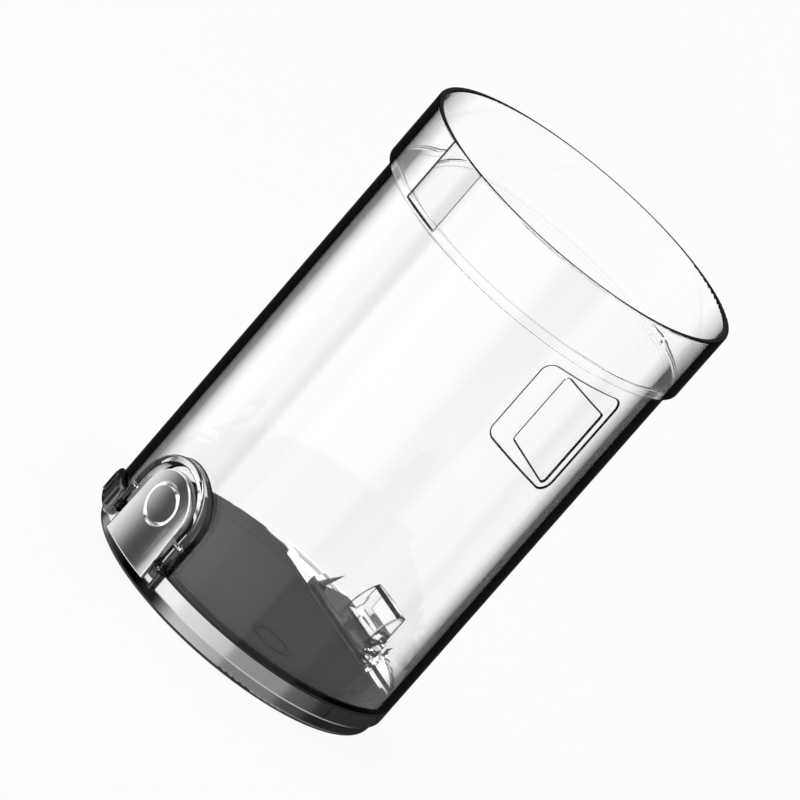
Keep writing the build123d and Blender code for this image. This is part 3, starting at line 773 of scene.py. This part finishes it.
def view_axes(studio):
    """(image right, image up, line of sight) of the camera."""
    a, e, r = studio.azimuth, studio.elevation, studio.roll
    right = Vector((math.cos(a), math.sin(a), 0.0))
    sight = Vector((-math.sin(a) * math.cos(e), math.cos(a) * math.cos(e), -math.sin(e)))
    up = right.cross(sight)
    return right * math.cos(r) + up * math.sin(r), up * math.cos(r) - right * math.sin(r), sight


def place_camera(scene, studio):
    """The camera at the photograph's viewing angle."""
    right, up, sight = view_axes(studio)
    centre = Vector((0.0, 0.0, studio.target_z)) + right * studio.slide_right + up * studio.slide_up
    lens = bpy.data.cameras.new("view")
    lens.lens = studio.lens
    lens.sensor_width = 36.0
    lens.clip_end = 50.0
    camera = bpy.data.objects.new("view", lens)
    turn = Matrix((right, up, -sight)).transposed().to_4x4()
    camera.matrix_world = Matrix.Translation(centre - sight * studio.distance) @ turn
    scene.collection.objects.link(camera)
    scene.camera = camera


def panel_lamp(scene, name, away, side, height, size, power):
    """A soft panel that faces the bin: side is its azimuth from the front."""
    lamp = bpy.data.lights.new(name, "AREA")
    lamp.shape = "RECTANGLE"
    lamp.size, lamp.size_y = size
    lamp.energy = power
    made = bpy.data.objects.new(name, lamp)
    at = Vector((math.sin(side) * away, -math.cos(side) * away, height))
    made.location = at
    aim = Vector((0.0, 0.0, LAMP_AIM)) - at
    made.rotation_euler = aim.to_track_quat("-Z", "Y").to_euler()
    made.visible_camera = False
    made.visible_glossy = False
    scene.collection.objects.link(made)


def shown_white(tree):
    """1 for rays that show the background itself: from the camera, or through the clear plastic."""
    light = put(tree, "ShaderNodeLightPath")
    return calc(tree, "MAXIMUM", light.outputs["Is Camera Ray"], light.outputs["Is Transmission Ray"])


def floor_material(studio):
    """Pale floor that shows white and keeps a share of the shadow."""
    made = bpy.data.materials.new("studio_floor")
    tree = empty_nodes(made)
    paper = put(tree, "ShaderNodeBsdfDiffuse", {"Color": (*studio.floor_colour, 1.0)})
    white = put(tree, "ShaderNodeEmission", {"Strength": 1.0})
    both = put(tree, "ShaderNodeMixShader")
    share = calc(tree, "MULTIPLY", shown_white(tree), studio.floor_show)
    join(
        tree,
        (share, both.inputs[0]),
        (paper.outputs[0], both.inputs[1]),
        (white.outputs[0], both.inputs[2]),
        (both.outputs[0], put(tree, "ShaderNodeOutputMaterial").inputs["Surface"]),
    )
    return made


def panel_tones(tree, studio):
    """Brightness of the upright panels round the bin, by direction; returns a socket."""
    x, y, z = axes_of(tree, put(tree, "ShaderNodeTexCoord").outputs["Generated"])
    start = 0.5 - studio.azimuth / (2 * math.pi)
    turn = calc(tree, "MULTIPLY_ADD", turn_from_front(tree, x, y), 0.5 / math.pi, start)
    tones = put(tree, "ShaderNodeValToRGB")
    stops = tones.color_ramp.elements
    for stop, (_, tone) in zip((stops[0], stops[1]), (PANELS[0], PANELS[-1])):
        stop.color = (tone, tone, tone, 1.0)
    for degrees, tone in PANELS[1:-1]:
        stops.new(degrees / 360.0 + 0.5).color = (tone, tone, tone, 1.0)
    join(tree, (calc(tree, "FRACT", turn), tones.inputs["Fac"]))
    below = ramp(tree, z, *BELOW, studio.below, 0.0)
    return colour_mix(tree, 1.0, tones.outputs["Color"], below, blend="LIGHTEN")


def white_world(scene, studio):
    """World that shows white behind the bin, lights it softly and is mirrored as upright panels."""
    world = bpy.data.worlds.new("studio")
    scene.world = world
    tree = empty_nodes(world)
    soft = put(tree, "ShaderNodeBackground", {"Color": (*WHITE, 1.0), "Strength": studio.sky})
    panels = put(tree, "ShaderNodeBackground", {"Strength": studio.panels})
    white = put(tree, "ShaderNodeBackground", {"Color": (*WHITE, 1.0), "Strength": 1.0})
    lit = put(tree, "ShaderNodeMixShader")
    both = put(tree, "ShaderNodeMixShader")
    join(
        tree,
        (panel_tones(tree, studio), panels.inputs["Color"]),
        (put(tree, "ShaderNodeLightPath").outputs["Is Glossy Ray"], lit.inputs[0]),
        (soft.outputs[0], lit.inputs[1]),
        (panels.outputs[0], lit.inputs[2]),
        (shown_white(tree), both.inputs[0]),
        (lit.outputs[0], both.inputs[1]),
        (white.outputs[0], both.inputs[2]),
        (both.outputs[0], put(tree, "ShaderNodeOutputWorld").inputs["Surface"]),
    )


class BIN_OT_studio(bpy.types.Operator):
    """Set up the floor, the lamps, the world and the camera"""

    bl_idname = "dust_bin.studio"
    bl_label = "Studio"

    def execute(self, context):
        scene, studio = context.scene, context.scene.dust_bin.studio
        half = studio.floor_size / 2
        corners = [(-half, -half, 0.0), (half, -half, 0.0), (half, half, 0.0), (-half, half, 0.0)]
        sheet = bpy.data.meshes.new("studio_floor")
        sheet.from_pydata(corners, [], [(0, 1, 2, 3)])
        sheet.materials.append(floor_material(studio))
        ground = bpy.data.objects.new("studio_floor", sheet)
        scene.collection.objects.link(ground)
        ground.visible_glossy = False
        white_world(scene, studio)
        for name, power, away, degrees, height, size in LAMPS:
            side = studio.azimuth + math.radians(degrees)
            panel_lamp(scene, name, away, side, height, size, getattr(studio, power))
        scene.view_settings.view_transform = "Standard"
        place_camera(scene, studio)
        return {"FINISHED"}


STEPS = (BIN_OT_tube, BIN_OT_lid, BIN_OT_button, BIN_OT_steel, BIN_OT_studio)


class BIN_PT_panel(bpy.types.Panel):
    """Lists the pieces of the dust bin"""

    bl_idname = "BIN_PT_panel"
    bl_label = "Dust Bin"
    bl_space_type = "VIEW_3D"
    bl_region_type = "UI"
    bl_category = "Dust Bin"

    def draw(self, context):
        for step in STEPS:
            self.layout.operator(step.bl_idname, text=step.bl_label)
        settings = context.scene.dust_bin
        for part in ("tube", "graphite", "floor", "fitting", "studio"):
            group = getattr(settings, part)
            box = self.layout.box()
            box.label(text=part.title())
            for name in group.__annotations__:
                box.prop(group, name)


CLASSES = (
    TubeFinish,
    GraphiteFinish,
    FloorFinish,
    FittingFinish,
    StudioSettings,
    BinSettings,
    *STEPS,
    BIN_PT_panel,
)


def register():
    for item in CLASSES:
        bpy.utils.register_class(item)
    bpy.types.Scene.dust_bin = PointerProperty(type=BinSettings)


def unregister():
    del bpy.types.Scene.dust_bin
    for item in reversed(CLASSES):
        bpy.utils.unregister_class(item)


def main():
    register()
    bpy.ops.dust_bin.tube()
    bpy.ops.dust_bin.lid()
    bpy.ops.dust_bin.button()
    bpy.ops.dust_bin.steel()
    bpy.ops.dust_bin.studio()


if __name__ == "__main__":
    main()
